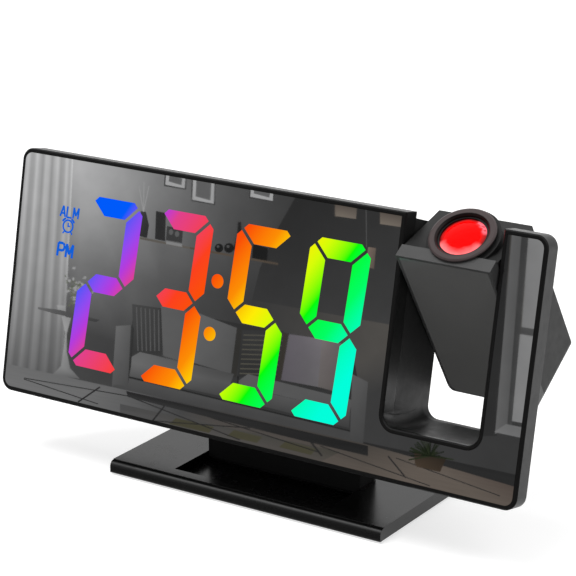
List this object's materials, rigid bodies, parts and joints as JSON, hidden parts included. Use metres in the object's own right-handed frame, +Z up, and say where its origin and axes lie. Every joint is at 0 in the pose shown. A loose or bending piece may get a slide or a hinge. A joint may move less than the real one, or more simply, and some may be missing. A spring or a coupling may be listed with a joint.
{
  "type": "projection alarm clock",
  "caption": "Mirror-faced digital alarm clock leaning on a low tilting stand, with a projector head that swings out of a slot in its right end.",
  "frame": {"origin": "centre of the stand's underside, on the table", "axes": "+Z up, +X to the right seen from the front, +Y to the back; the display faces -Y and leans back"},
  "size_m": [0.19, 0.0646, 0.0996],
  "materials": {
    "base_gloss": "piano gloss",
    "base_gloss_metal": "gloss paint",
    "weight_steel": "rolled",
    "screw_steel": "plated",
    "pad_rubber": "matt",
    "pin_steel": "ground",
    "bracket_plastic": "fine matt",
    "frame_plastic": "satin",
    "panel_mirror": "half-silvered, dark",
    "mask_plastic": "matt",
    "light_bar": "translucent",
    "board_green": "solder mask",
    "led_body": "clear",
    "chip_black": "matt",
    "housing_plastic": "fine matt",
    "key_plastic": "satin",
    "inlet_steel": "plated",
    "cup_plastic": "matt",
    "cell_steel": "bright",
    "contact_brass": "plated",
    "bush_plastic": "smooth",
    "head_plastic": "satin",
    "engine_plastic": "matt",
    "slide_glass": "clear film",
    "clear_glass": "polished",
    "lamp_red": "clear",
    "ring_plastic": "satin",
    "lens_red": "polished"
  },
  "bodies": {
    "stand": {"base_cover": "base_gloss", "base_plate": "base_gloss_metal", "base_weights": "weight_steel", "base_screws": "screw_steel", "non_slip_pad": "pad_rubber", "hinge_pin": "pin_steel"},
    "clock": {"neck_bracket": "bracket_plastic", "bracket_screws": "screw_steel", "front_frame": "frame_plastic", "mirror_panel": "panel_mirror", "light_mask": "mask_plastic", "light_bars": "light_bar", "main_board": "board_green", "display_leds": "led_body", "board_chips": "chip_black", "snooze_switch": "chip_black", "rear_housing": "housing_plastic", "housing_screws": "screw_steel", "key_board": "board_green", "key_board_screws": "screw_steel", "key_switches": "chip_black", "power_inlet": "inlet_steel", "inlet_tongue": "chip_black", "battery_cup": "cup_plastic", "coin_cell": "cell_steel", "battery_contact": "contact_brass", "battery_door": "housing_plastic", "door_screw": "screw_steel", "buzzer": "chip_black", "axle_bushes": "bush_plastic"},
    "projector": {"head_front_shell": "head_plastic", "head_mirror": "panel_mirror", "head_rear_shell": "head_plastic", "head_screws": "screw_steel", "light_engine": "engine_plastic", "number_slide": "slide_glass", "condenser_lens": "clear_glass", "lamp_board": "board_green", "projector_lamp": "lamp_red"},
    "focus": {"focus_ring": "ring_plastic"},
    "lens": {"lens_carrier": "ring_plastic", "front_lens": "lens_red"},
    "snooze": {"snooze_bar": "key_plastic"},
    "alarm_button": {"alarm_key": "key_plastic"},
    "time_button": {"time_key": "key_plastic"},
    "up_button": {"up_key": "key_plastic"},
    "down_button": {"down_key": "key_plastic"},
    "projector_button": {"projector_key": "key_plastic"}
  },
  "joints": [
    {"name": "stand_tilt", "type": "hinge", "parent": "stand", "child": "clock", "pos_m": [0, 0.0003, 0.00305], "axis": [1, 0, 0], "range_deg": [-20, 12]},
    {"name": "projector_swing", "type": "hinge", "parent": "clock", "child": "projector", "pos_m": [0.0645, 0.00034, 0.08427], "axis": [1, 0, 0], "range_deg": [-45, 75]},
    {"name": "focus_turn", "type": "hinge", "parent": "projector", "child": "focus", "pos_m": [0.0661, -0.00757, 0.09343], "axis": [0, -0.5476, 0.8368], "range_deg": [-120, 120]},
    {"name": "focus_slide", "type": "slide", "parent": "projector", "child": "lens", "axis": [0, -0.5476, 0.8368], "range_m": [-0.0006, 0.0006]},
    {"name": "snooze_press", "type": "slide", "parent": "clock", "child": "snooze", "axis": [0, -0.2045, -0.9789], "range_m": [0, 0.0006], "stiffness_N_per_m": 1500, "springref_m": -0.0003},
    {"name": "alarm_press", "type": "slide", "parent": "clock", "child": "alarm_button", "axis": [0, -0.9789, 0.2045], "range_m": [0, 0.0005], "stiffness_N_per_m": 1500, "springref_m": -0.0003},
    {"name": "time_press", "type": "slide", "parent": "clock", "child": "time_button", "axis": [0, -0.9789, 0.2045], "range_m": [0, 0.0005], "stiffness_N_per_m": 1500, "springref_m": -0.0003},
    {"name": "up_press", "type": "slide", "parent": "clock", "child": "up_button", "axis": [0, -0.9789, 0.2045], "range_m": [0, 0.0005], "stiffness_N_per_m": 1500, "springref_m": -0.0003},
    {"name": "down_press", "type": "slide", "parent": "clock", "child": "down_button", "axis": [0, -0.9789, 0.2045], "range_m": [0, 0.0005], "stiffness_N_per_m": 1500, "springref_m": -0.0003},
    {"name": "projector_press", "type": "slide", "parent": "clock", "child": "projector_button", "axis": [0, -0.9789, 0.2045], "range_m": [0, 0.0005], "stiffness_N_per_m": 1500, "springref_m": -0.0003}
  ],
  "couplings": [
    {"joint": "focus_turn", "follows": "focus_slide", "rad_per_m": 3490}
  ]
}
